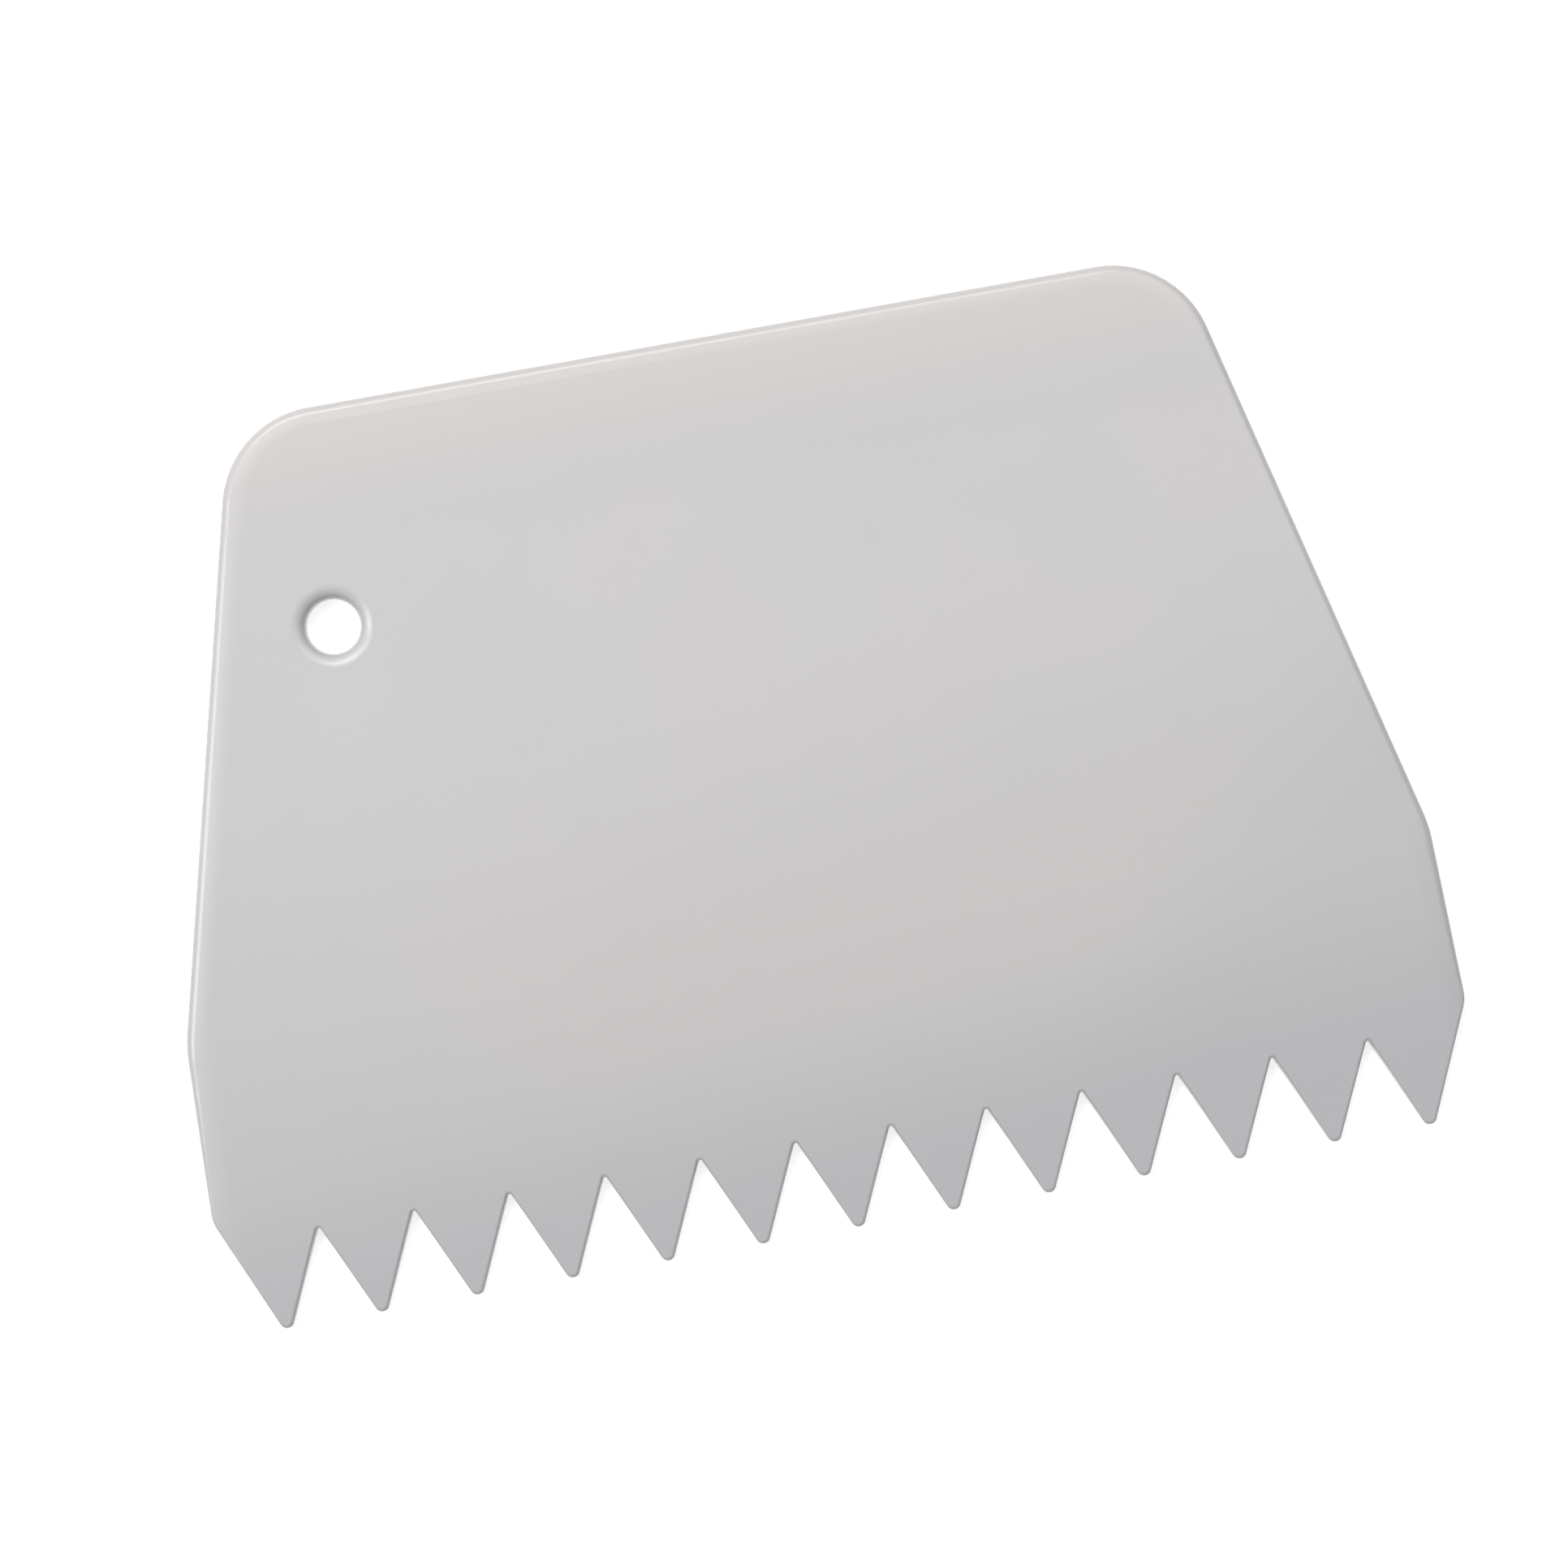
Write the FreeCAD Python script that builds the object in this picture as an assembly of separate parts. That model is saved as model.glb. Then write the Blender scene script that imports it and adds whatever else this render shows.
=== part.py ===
import FreeCAD, Part
import math
import os
from FreeCAD import Vector

# Icing comb: one moulded plate with a toothed edge, a thinned blade and a hanging hole.
# The flat back lies on Z = 0 and the front looks up +Z. X runs along the toothed edge, and +Y
# from the teeth to the top edge. The origin is under the middle of the plate's bounding box.
# Sizes are in millimetres and angles in degrees. The outline's sizes are those on the back,
# before its edge is broken.

# Outline of the plate
PLATE_HEIGHT = 85.3          # rounded tooth tips to top edge
SHOULDER_WIDTH = 119.1       # across the shoulders, where the flared sides meet the skirt
SHOULDER_HEIGHT = 27.9       # shoulders above the tooth tips
SHOULDER_RADIUS = 12.0
FLARE_ANGLE = 13.9           # lean of each side above its shoulder, from upright
SKIRT_ANGLE = 1.7            # lean of each side below its shoulder, from upright
TOP_CORNER_RADIUS = 9.8
LOWER_CORNER_HEIGHT = 11.15  # lower end of the skirt above the tooth tips
LOWER_CORNER_RADIUS = 3.4
WALL_DRAFT = 3.5             # lean of the walls, which makes the front smaller than the back

# Teeth, spread evenly between the two lower corners
TOOTH_COUNT = 13
TOOTH_ANGLE = 48.9           # between the two flanks of a tooth
END_FLANK_ANGLE = 23.4       # lean of the outer flank of each end tooth, from upright
TOOTH_TIP_RADIUS = 0.72
TOOTH_ROOT_RADIUS = 0.15

# Section from the teeth to the top edge
BODY_THICKNESS = 3.0
TOOTH_THICKNESS = 1.0        # at the tooth tips
BLADE_SLOPE = 5.8            # fall of the front over the teeth, from flat
BLADE_BEND_RADIUS = 165.0    # of the arc from the flat front to that fall
TOP_FALL = 0.35              # how much lower the front is at the top edge
TOP_SLOPE = 2.9              # fall of the front there, from flat
TOP_BEND_RADIUS = 180.0      # of the arc from the flat front to that fall

# Hanging hole near the upper left corner
HOLE_DIAMETER = 5.2
HOLE_FROM_TOP = 20.85
HOLE_FROM_SIDE = 11.3        # square to the flared side

# Front that curves down towards the outline
CROWN_WIDTH = 2.2
CROWN_TILT = 14.0            # fall of the front at the outline, from flat

# Rounded and broken edges
GRIP_EDGE_RADIUS = 0.9       # front edge round the grip, above the shoulders
TOOTH_EDGE_RADIUS = 0.35     # front edge round the teeth
HOLE_RIM_RADIUS = 1.3        # front rim of the hole
BACK_CHAMFER = 0.25          # whole back edge and back rim of the hole

# Heights and places that follow from the sizes above
TOP_Y = PLATE_HEIGHT / 2
TIP_Y = -PLATE_HEIGHT / 2
SHOULDER_Y = TIP_Y + SHOULDER_HEIGHT
LOWER_CORNER_Y = TIP_Y + LOWER_CORNER_HEIGHT
SHOULDER_X = SHOULDER_WIDTH / 2
FLARE_SLOPE = math.tan(math.radians(FLARE_ANGLE))
SKIRT_SLOPE = math.tan(math.radians(SKIRT_ANGLE))
HALF_TOOTH_ANGLE = math.radians(TOOTH_ANGLE / 2)
FLANK_SLOPE = math.tan(HALF_TOOTH_ANGLE)
END_FLANK_SLOPE = math.tan(math.radians(END_FLANK_ANGLE))
TOP_X = SHOULDER_X - (TOP_Y - SHOULDER_Y) * FLARE_SLOPE
HOLE_Y = TOP_Y - HOLE_FROM_TOP
SIDE_X_AT_HOLE = SHOULDER_X - (HOLE_Y - SHOULDER_Y) * FLARE_SLOPE
HOLE_X = HOLE_FROM_SIDE / math.cos(math.radians(FLARE_ANGLE)) - SIDE_X_AT_HOLE
CROWN_RADIUS = CROWN_WIDTH / math.sin(math.radians(CROWN_TILT))
FORM_REACH = 1.5 * CROWN_RADIUS          # how far the solid under the front runs past the plate
BLANK_HEIGHT = 1.5 * BODY_THICKNESS      # of the toothed blank, which the front then cuts down


def outline_corners():
    """Corners of the outline as (x, y, radius), clockwise from the upper left."""
    lower_x = SHOULDER_X + (SHOULDER_Y - LOWER_CORNER_Y) * SKIRT_SLOPE
    apex_y = TIP_Y - TOOTH_TIP_RADIUS * (1 / math.sin(HALF_TOOTH_ANGLE) - 1)
    end_apex_x = lower_x - (LOWER_CORNER_Y - apex_y) * END_FLANK_SLOPE
    pitch = 2 * end_apex_x / (TOOTH_COUNT - 1)
    root_y = apex_y + pitch / 2 / FLANK_SLOPE

    corners = [
        (-TOP_X, TOP_Y, TOP_CORNER_RADIUS),
        (TOP_X, TOP_Y, TOP_CORNER_RADIUS),
        (SHOULDER_X, SHOULDER_Y, SHOULDER_RADIUS),
        (lower_x, LOWER_CORNER_Y, LOWER_CORNER_RADIUS),
        (end_apex_x, apex_y, TOOTH_TIP_RADIUS),
    ]
    for tooth in range(1, TOOTH_COUNT):
        apex_x = end_apex_x - tooth * pitch
        corners.append((apex_x + pitch / 2, root_y, TOOTH_ROOT_RADIUS))
        corners.append((apex_x, apex_y, TOOTH_TIP_RADIUS))
    corners.append((-lower_x, LOWER_CORNER_Y, LOWER_CORNER_RADIUS))
    corners.append((-SHOULDER_X, SHOULDER_Y, SHOULDER_RADIUS))
    return corners


def grip_corners():
    """Corners of the outline without teeth, its skirt running straight on past the tips."""
    low_y = TIP_Y - 2 * FORM_REACH
    low_x = SHOULDER_X + (SHOULDER_Y - low_y) * SKIRT_SLOPE
    return [
        (-TOP_X, TOP_Y, TOP_CORNER_RADIUS),
        (TOP_X, TOP_Y, TOP_CORNER_RADIUS),
        (SHOULDER_X, SHOULDER_Y, SHOULDER_RADIUS),
        (low_x, low_y, 0),
        (-low_x, low_y, 0),
        (-SHOULDER_X, SHOULDER_Y, SHOULDER_RADIUS),
    ]


def section_corners():
    """Corners of the section as (y, z, radius), from the back under the teeth and over the front."""
    blade_fall = math.tan(math.radians(BLADE_SLOPE))
    top_fall = math.tan(math.radians(TOP_SLOPE))
    low_y = TIP_Y - FORM_REACH
    high_y = TOP_Y + FORM_REACH
    blade_y = TIP_Y + (BODY_THICKNESS - TOOTH_THICKNESS) / blade_fall
    top_y = TOP_Y - TOP_FALL / top_fall
    return [
        (low_y, -FORM_REACH, 0),
        (low_y, BODY_THICKNESS - (blade_y - low_y) * blade_fall, 0),
        (blade_y, BODY_THICKNESS, BLADE_BEND_RADIUS),
        (top_y, BODY_THICKNESS, TOP_BEND_RADIUS),
        (high_y, BODY_THICKNESS - (high_y - top_y) * top_fall, 0),
        (high_y, -FORM_REACH, 0),
    ]


def turn_at(corners, index):
    """Ways from a corner to its two neighbours, between them, and half the angle there."""
    corner = Vector(*corners[index][:2])
    back = (Vector(*corners[index - 1][:2]) - corner).normalize()
    onward = (Vector(*corners[(index + 1) % len(corners)][:2]) - corner).normalize()
    return back, onward, (back + onward).normalize(), back.getAngle(onward) / 2


def drawn_in(corners, inset):
    """The corners of a clockwise outline with every side moved inwards."""
    moved = []
    for index, (x, y, radius) in enumerate(corners):
        back, onward, between, half_angle = turn_at(corners, index)
        outer = 1 if back.cross(onward).z > 0 else -1
        step = between * (outer * inset / math.sin(half_angle))
        moved.append((x + step.x, y + step.y, radius - outer * inset))
    return moved


def rounded_wire(corners, place):
    """Straight runs that a tangent arc joins at each corner with a radius.

    A corner is two coordinates and a radius, and place makes a point of the two coordinates.
    """
    bends = []
    for index, (*here, radius) in enumerate(corners):
        corner = Vector(*here)
        back, onward, between, half_angle = turn_at(corners, index)
        run = radius / math.tan(half_angle)
        depth = radius / math.sin(half_angle) - radius
        points = (corner + back * run, corner + between * depth, corner + onward * run)
        bends.append((*(place(point.x, point.y) for point in points), radius))
    edges = []
    for index, (start, middle, end, radius) in enumerate(bends):
        last_end = bends[index - 1][2]
        edges.append(Part.LineSegment(last_end, start).toShape())
        if radius > 0:
            edges.append(Part.Arc(start, middle, end).toShape())
    return Part.Wire(edges)


def level(z):
    """Places points at one height."""
    return lambda x, y: Vector(x, y, z)


def left_of_plate(y, z):
    return Vector(-SHOULDER_WIDTH, y, z)


def toothed_blank():
    """The outline with its drafted walls, higher than the plate."""
    inset = BLANK_HEIGHT * math.tan(math.radians(WALL_DRAFT))
    back = rounded_wire(outline_corners(), level(0))
    front = rounded_wire(drawn_in(outline_corners(), inset), level(BLANK_HEIGHT))
    return Part.makeLoft([back, front], True, True)


def middle_of(edge):
    return edge.valueAt((edge.FirstParameter + edge.LastParameter) / 2)


def directions(solid, edge):
    """Ways that the faces at an edge look: 1 for the front, 0 for a side wall and -1 for the back."""
    middle = middle_of(edge)
    ways = set()
    for face in solid.ancestorsOfType(edge, Part.Face):
        normal = face.normalAt(*face.Surface.parameter(middle))
        ways.add(round(normal.z))
    return ways


def edges_between(solid, first, second):
    return [edge for edge in solid.Edges if directions(solid, edge) == {first, second}]


def front_form():
    """Solid under the front, wider than the plate.

    Its big rounding, the crown, starts inside the plate's outline and goes on past it.
    """
    outset = CROWN_RADIUS - CROWN_WIDTH
    wide = Part.Face(rounded_wire(drawn_in(grip_corners(), -outset), level(-FORM_REACH)))
    wide = wide.extrude(Vector(0, 0, 2 * FORM_REACH))
    section = Part.Face(rounded_wire(section_corners(), left_of_plate))
    section = section.extrude(Vector(2 * SHOULDER_WIDTH, 0, 0))
    form = wide.common(section).Solids[0]
    rim = [edge for edge in edges_between(form, 0, 1) if edge.BoundBox.YMax > TIP_Y]
    return form.makeFillet(CROWN_RADIUS, rim).Solids[0]


def sharp_plate():
    """The plate with its hole, before any edge is broken or rounded."""
    drill_start = Vector(HOLE_X, HOLE_Y, -BODY_THICKNESS)
    drill = Part.makeCylinder(HOLE_DIAMETER / 2, 3 * BODY_THICKNESS, drill_start)
    return toothed_blank().common(front_form()).cut(drill).Solids[0]


def with_broken_back(plate):
    """The plate with an even chamfer round its back edge and the back rim of its hole."""
    return plate.makeChamfer(BACK_CHAMFER, edges_between(plate, 0, -1))


def front_edge_radius(y):
    """Radius of the front edge: the teeth's at the lower corners, growing to the grip's above."""
    share = (y - LOWER_CORNER_Y) / (SHOULDER_Y - LOWER_CORNER_Y)
    share = min(max(share, 0.0), 1.0)
    return TOOTH_EDGE_RADIUS + share * (GRIP_EDGE_RADIUS - TOOTH_EDGE_RADIUS)


def front_radii(plate):
    """Radius at both ends of each front edge, as (edge number, first, last)."""
    radii = []
    for number, edge in enumerate(plate.Edges, start=1):
        if directions(plate, edge) != {0, 1}:
            continue
        middle = middle_of(edge)
        if math.hypot(middle.x - HOLE_X, middle.y - HOLE_Y) < HOLE_DIAMETER:
            first = last = HOLE_RIM_RADIUS
        else:
            first = front_edge_radius(edge.Vertexes[0].Point.y)
            last = front_edge_radius(edge.Vertexes[-1].Point.y)
        radii.append((number, first, last))
    return radii


def with_rounded_front(plate):
    """The plate with its front edges rounded, each radius changing evenly along its edge."""
    document = FreeCAD.newDocument("icing_comb")
    base = document.addObject("Part::Feature", "plate")
    base.Shape = plate
    rounding = document.addObject("Part::Fillet", "rounded_plate")
    rounding.Base = base
    rounding.Edges = front_radii(plate)
    document.recompute()
    return rounding.Shape.Solids[0]


os.makedirs("parts", exist_ok=True)
comb_plate = with_rounded_front(with_broken_back(sharp_plate()))
comb_plate.exportStep("parts/comb_plate.step")
print("comb_plate valid:", comb_plate.isValid(), "volume:", round(comb_plate.Volume, 1))
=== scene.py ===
import bpy
import math
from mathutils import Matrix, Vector

# Icing comb of white plastic, lying face up on a pale floor and seen from straight above.
# Lengths are in metres, in the part's own frame: X along the teeth, Y up the plate, Z out of the front.

MM = 0.001

# Camera: the plate is turned in the picture, and nearly fills it
PICTURE_WIDTH = 148.05 * MM      # of the plate's plane, across the whole picture
PICTURE_CENTRE = (0.32 * MM, -0.27 * MM)
PICTURE_TURN = 10.12             # degrees, anticlockwise, of the plate in the picture
OUTLINE_HEIGHT = 0.25 * MM       # the outline is widest this far above the floor
LENS = 150.0
SENSOR = 36.0

# Light: a key lamp beyond the top edge, a tall one on the left, a broad one on the upper right, a weak sky.
# A heading is in degrees from +X towards +Y, on the floor, and an elevation in degrees above it.
# Lamp distances, widths and heights are in metres, and powers in watts.
KEY_LAMP = {"heading": 111, "elevation": 52, "distance": 1.5, "width": 0.95, "height": 1.0, "power": 10.4}
LEFT_LAMP = {"heading": 174, "elevation": 47, "distance": 2.25, "width": 0.85, "height": 1.8, "power": 20.6}
RIGHT_LAMP = {"heading": 46, "elevation": 50, "distance": 2.25, "width": 2.1, "height": 2.1, "power": 13.4}
LAMP_COLOUR = (1.0, 0.987, 0.975)
SKY_COLOUR = (0.96, 0.985, 1.0)
SKY_STRENGTH = 0.17

# Floor
FLOOR_SIZE = 8.0
FLOOR_GAP = 0.05 * MM
FLOOR_COLOUR = (0.5, 0.5, 0.5, 1)
FLOOR_GLOW = 0.78                # added for the eye only, so that the floor looks white

# Plastic: the body's colour is clouded between two tones, and soft bands of painted light and shade take
# over from it across the plate.
# A band starts at the line Y = start + slope * X, and has its full colour from Y = full + slope * X on.
BODY_COLOUR = (0.601, 0.584, 0.596, 1)
CLOUD_COLOUR = (0.588, 0.585, 0.589, 1)
PAINTED_SHADING_BANDS = (
    # start, full, slope, colour
    (-130.0 * MM, -185.0 * MM, -4.0, (0.583, 0.575, 0.586, 1)),    # left side, painted shade
    (26.0 * MM, 32.0 * MM, 0, (0.583, 0.574, 0.579, 1)),           # below the top edge, painted shade
    (33.0 * MM, 40.5 * MM, 0, (0.606, 0.583, 0.579, 1)),           # top edge, painted light, warmer
    (14.0 * MM, -14.0 * MM, 0.08, (0.558, 0.552, 0.551, 1)),       # lower half, painted shade
    (-45.0 * MM, -80.0 * MM, -1.0, (0.543, 0.544, 0.556, 1)),      # lower left corner, painted shade, cooler
    (-44.0 * MM, -68.0 * MM, 1.0, (0.525, 0.526, 0.528, 1)),       # right end, painted shade
    (-21.0 * MM, -41.0 * MM, 0.08, (0.478, 0.485, 0.503, 1)),      # thin blade, painted shade, darker and cooler towards the teeth
)
CLOUD_SIZE = 30.0 * MM
CLOUD_DETAIL = 3
CLOUD_RANGE = (0.35, 0.65)       # of the noise, from one tone to the other
GLOSS_SIZE = 4.0 * MM
GLOSS_DETAIL = 4
GLOSS_RANGE = (0.3, 0.7)         # of the noise, from the least roughness to the most
GRAIN_SIZE = 0.35 * MM
GRAIN_DETAIL = 2
GRAIN_DEPTH = 0.004 * MM
ROUGHNESS = (0.42, 0.50)         # of the plastic under its smoother moulded skin
SKIN_ROUGHNESS = 0.26
PLASTIC_IOR = 1.49

# Shares of a mix, from none to all, and the white that the eye sees beyond the floor
NONE_TO_ALL = (0, 1)
WHITE = (1, 1, 1, 1)


def new_material(name):
    """Empty material, with its nodes, its links and its output node."""
    material = bpy.data.materials.new(name)
    material.use_nodes = True
    nodes = material.node_tree.nodes
    nodes.clear()
    output = nodes.new("ShaderNodeOutputMaterial")
    return material, nodes, material.node_tree.links, output


def noise(nodes, links, place, size, detail):
    """Noise whose lumps are about as wide as size."""
    texture = nodes.new("ShaderNodeTexNoise")
    texture.inputs["Scale"].default_value = 1 / size
    texture.inputs["Detail"].default_value = detail
    links.new(place, texture.inputs["Vector"])
    return texture.outputs["Fac"]


def map_range(nodes, links, value, source, target):
    """Value carried smoothly from the source range to the target range, and held at its ends."""
    mapping = nodes.new("ShaderNodeMapRange")
    mapping.interpolation_type = "SMOOTHSTEP"
    links.new(value, mapping.inputs["Value"])
    mapping.inputs["From Min"].default_value = source[0]
    mapping.inputs["From Max"].default_value = source[1]
    mapping.inputs["To Min"].default_value = target[0]
    mapping.inputs["To Max"].default_value = target[1]
    return mapping.outputs["Result"]


def mix_colour(nodes, links, share, first, second):
    """Mix of two colours; each is a socket or a plain colour."""
    mix = nodes.new("ShaderNodeMix")
    mix.data_type = "RGBA"
    links.new(share, mix.inputs["Factor"])
    for name, colour in (("A", first), ("B", second)):
        socket = next(s for s in mix.inputs if s.name == name and s.type == "RGBA")
        if isinstance(colour, tuple):
            socket.default_value = colour
        else:
            links.new(colour, socket)
    return next(s for s in mix.outputs if s.type == "RGBA")


def plastic():
    """White satin plastic: faint clouding of the colour, bands of painted light and shade across the plate,
    uneven gloss and a fine moulded grain.
    """
    material, nodes, links, output = new_material("satin_plastic")
    place = nodes.new("ShaderNodeTexCoord").outputs["Object"]
    split = nodes.new("ShaderNodeSeparateXYZ")
    links.new(place, split.inputs[0])

    cloud_noise = noise(nodes, links, place, CLOUD_SIZE, CLOUD_DETAIL)
    clouds = map_range(nodes, links, cloud_noise, CLOUD_RANGE, NONE_TO_ALL)
    colour = mix_colour(nodes, links, clouds, BODY_COLOUR, CLOUD_COLOUR)
    # Bands of painted light and shade over the colour: darker towards the teeth, the ends and the left side,
    # lighter and warmer at the top edge.
    for start, full, slope, painted_colour in PAINTED_SHADING_BANDS:
        height = nodes.new("ShaderNodeMath")
        height.operation = "MULTIPLY_ADD"
        links.new(split.outputs["X"], height.inputs[0])
        height.inputs[1].default_value = -slope
        links.new(split.outputs["Y"], height.inputs[2])
        share = map_range(nodes, links, height.outputs[0], (start, full), NONE_TO_ALL)
        colour = mix_colour(nodes, links, share, colour, painted_colour)
    gloss_noise = noise(nodes, links, place, GLOSS_SIZE, GLOSS_DETAIL)
    gloss = map_range(nodes, links, gloss_noise, GLOSS_RANGE, ROUGHNESS)

    grain = nodes.new("ShaderNodeBump")
    grain.inputs["Strength"].default_value = 1.0
    grain.inputs["Distance"].default_value = GRAIN_DEPTH
    links.new(noise(nodes, links, place, GRAIN_SIZE, GRAIN_DETAIL), grain.inputs["Height"])

    shader = nodes.new("ShaderNodeBsdfPrincipled")
    shader.inputs["IOR"].default_value = PLASTIC_IOR
    shader.inputs["Coat Weight"].default_value = 1.0
    shader.inputs["Coat Roughness"].default_value = SKIN_ROUGHNESS
    links.new(colour, shader.inputs["Base Color"])
    links.new(gloss, shader.inputs["Roughness"])
    links.new(grain.outputs["Normal"], shader.inputs["Normal"])
    links.new(shader.outputs["BSDF"], output.inputs["Surface"])
    return material


def seen_directly(nodes, links):
    """1 for a ray from the eye, also by way of a mirror or glass, and 0 for one that only carries light."""
    path = nodes.new("ShaderNodeLightPath")
    share = path.outputs["Is Camera Ray"]
    for name in ("Is Glossy Ray", "Is Transmission Ray"):
        either = nodes.new("ShaderNodeMath")
        either.operation = "MAXIMUM"
        links.new(share, either.inputs[0])
        links.new(path.outputs[name], either.inputs[1])
        share = either.outputs[0]
    return share


def floor_material():
    """Grey floor that takes the shadow, with a glow added where the eye sees it."""
    material, nodes, links, output = new_material("floor_white")
    diffuse = nodes.new("ShaderNodeBsdfDiffuse")
    diffuse.inputs["Color"].default_value = FLOOR_COLOUR
    glow = nodes.new("ShaderNodeEmission")
    glow.inputs["Strength"].default_value = FLOOR_GLOW
    lit = nodes.new("ShaderNodeAddShader")
    links.new(diffuse.outputs[0], lit.inputs[0])
    links.new(glow.outputs[0], lit.inputs[1])
    mix = nodes.new("ShaderNodeMixShader")
    links.new(seen_directly(nodes, links), mix.inputs["Fac"])
    links.new(diffuse.outputs[0], mix.inputs[1])
    links.new(lit.outputs[0], mix.inputs[2])
    links.new(mix.outputs[0], output.inputs["Surface"])
    return material


def make_floor():
    bpy.ops.mesh.primitive_plane_add(size=FLOOR_SIZE, location=(0, 0, -FLOOR_GAP))
    floor = bpy.context.object
    floor.name = "floor"
    floor.data.materials.append(floor_material())


def make_world():
    """Weak sky that lights the part, and plain white where the eye sees past the floor."""
    world = bpy.data.worlds.new("studio")
    bpy.context.scene.world = world
    world.use_nodes = True
    nodes, links = world.node_tree.nodes, world.node_tree.links
    sky = nodes["Background"]
    sky.inputs["Color"].default_value = (*SKY_COLOUR, 1)
    sky.inputs["Strength"].default_value = SKY_STRENGTH
    white = nodes.new("ShaderNodeBackground")
    white.inputs["Color"].default_value = WHITE
    white.inputs["Strength"].default_value = 1.0
    mix = nodes.new("ShaderNodeMixShader")
    links.new(seen_directly(nodes, links), mix.inputs["Fac"])
    links.new(sky.outputs[0], mix.inputs[1])
    links.new(white.outputs[0], mix.inputs[2])
    links.new(mix.outputs[0], nodes["World Output"].inputs["Surface"])


def make_lamp(name, heading, elevation, distance, width, height, power):
    """Oval soft lamp that looks at the origin; its width lies level, and its height square to that."""
    data = bpy.data.lights.new(name, "AREA")
    data.shape = "ELLIPSE"
    data.size = width
    data.size_y = height
    data.energy = power
    data.color = LAMP_COLOUR
    lamp = bpy.data.objects.new(name, data)
    bpy.context.scene.collection.objects.link(lamp)
    heading = math.radians(heading)
    elevation = math.radians(elevation)
    towards = Vector((
        math.cos(heading) * math.cos(elevation),
        math.sin(heading) * math.cos(elevation),
        math.sin(elevation),
    ))
    lamp.location = towards * distance
    lamp.rotation_euler = (-towards).to_track_quat("-Z", "Y").to_euler()


def make_camera():
    """Camera straight above the plate, turned so that the plate leans as it does in the picture."""
    data = bpy.data.cameras.new("camera")
    data.lens = LENS
    data.sensor_width = SENSOR
    camera = bpy.data.objects.new("camera", data)
    bpy.context.scene.collection.objects.link(camera)
    distance = PICTURE_WIDTH * LENS / SENSOR
    camera.location = (*PICTURE_CENTRE, OUTLINE_HEIGHT + distance)
    camera.rotation_euler = (0, 0, math.radians(-PICTURE_TURN))
    bpy.context.scene.camera = camera


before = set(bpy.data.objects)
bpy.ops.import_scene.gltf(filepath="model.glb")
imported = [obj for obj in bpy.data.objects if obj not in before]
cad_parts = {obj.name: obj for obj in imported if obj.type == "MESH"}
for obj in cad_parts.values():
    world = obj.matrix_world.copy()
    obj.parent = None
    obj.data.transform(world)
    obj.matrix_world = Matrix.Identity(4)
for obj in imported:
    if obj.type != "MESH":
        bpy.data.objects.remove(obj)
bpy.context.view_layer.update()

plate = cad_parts["comb_plate"]
plate.data.materials.clear()
plate.data.materials.append(plastic())
make_floor()
make_world()
make_lamp("key_lamp", **KEY_LAMP)
make_lamp("left_lamp", **LEFT_LAMP)
make_lamp("right_lamp", **RIGHT_LAMP)
make_camera()
bpy.context.scene.view_settings.view_transform = "Standard"
